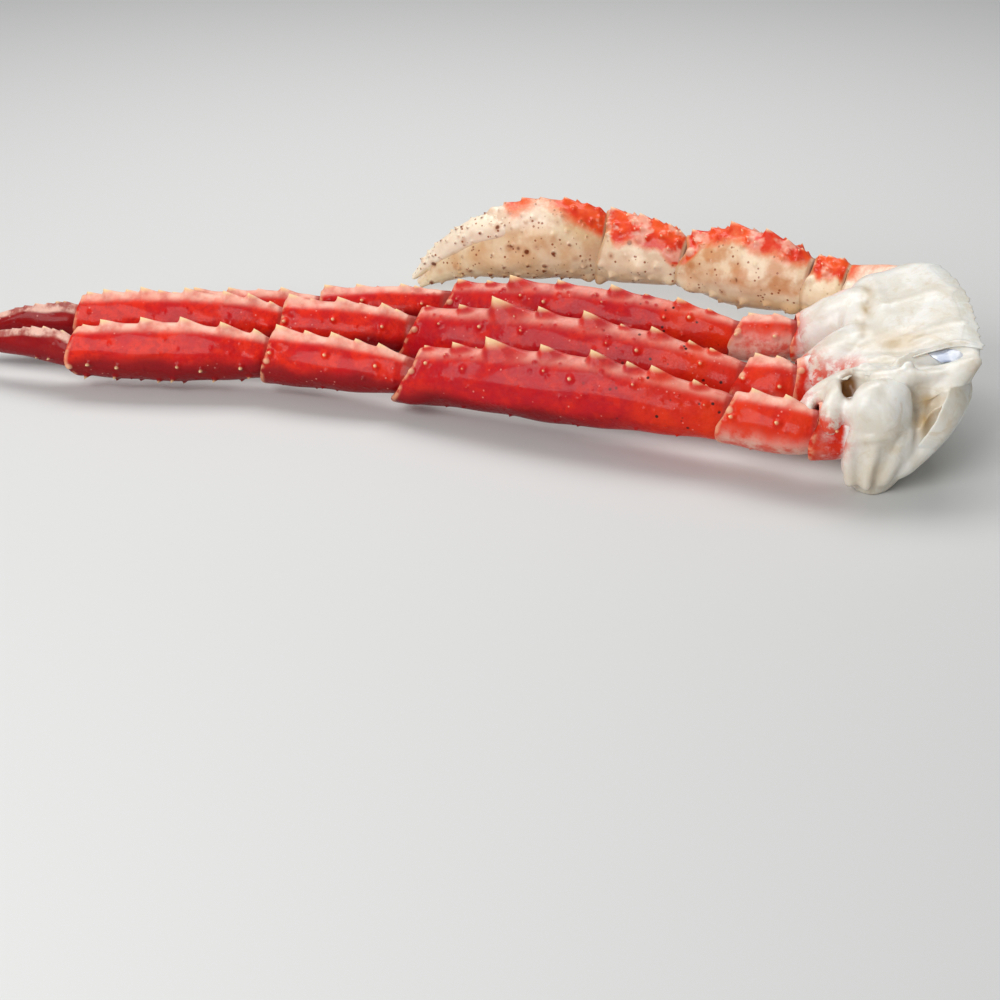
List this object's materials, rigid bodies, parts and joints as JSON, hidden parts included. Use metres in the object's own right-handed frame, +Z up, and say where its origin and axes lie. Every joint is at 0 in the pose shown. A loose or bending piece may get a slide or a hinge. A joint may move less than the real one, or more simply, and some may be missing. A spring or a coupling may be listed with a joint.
{
  "type": "red king crab leg cluster",
  "caption": "Cooked red king crab leg cluster: three spiny walking legs and a claw arm on the white shoulder cut from the body.",
  "frame": {"origin": "middle of the outline on the floor, in the plane that the cluster rests on", "axes": "-X along the legs towards their tips, +X towards the cut shoulder, +Y towards the claw arm at the back, +Z up"},
  "size_m": [0.549, 0.2628, 0.0748],
  "materials": {
    "red_shell": "wet glossy cooked shell, deep red below, paler along the crest",
    "dactyl_shell": "wet glossy shell that turns to amber horn at the tip",
    "claw_shell": "cream shell with brown-tipped tubercles, orange-red along the top",
    "white_meat": "moist white membrane and meat"
  },
  "bodies": {
    "root": {"shoulder": "white_meat", "leg_back_coxa": "red_shell", "leg_back_ischium": "red_shell", "leg_back_merus": "red_shell", "leg_back_carpus": "red_shell", "leg_back_propodus": "red_shell", "leg_back_dactyl": "dactyl_shell", "leg_middle_coxa": "red_shell", "leg_middle_ischium": "red_shell", "leg_middle_merus": "red_shell", "leg_middle_carpus": "red_shell", "leg_middle_propodus": "red_shell", "leg_middle_dactyl": "dactyl_shell", "leg_front_coxa": "red_shell", "leg_front_ischium": "red_shell", "leg_front_merus": "red_shell", "leg_front_carpus": "red_shell", "leg_front_propodus": "red_shell", "leg_front_dactyl": "dactyl_shell", "claw_coxa": "claw_shell", "claw_ischium": "claw_shell", "claw_merus": "claw_shell", "claw_carpus": "claw_shell", "claw_palm": "claw_shell", "claw_finger": "claw_shell"}
  },
  "joints": []
}
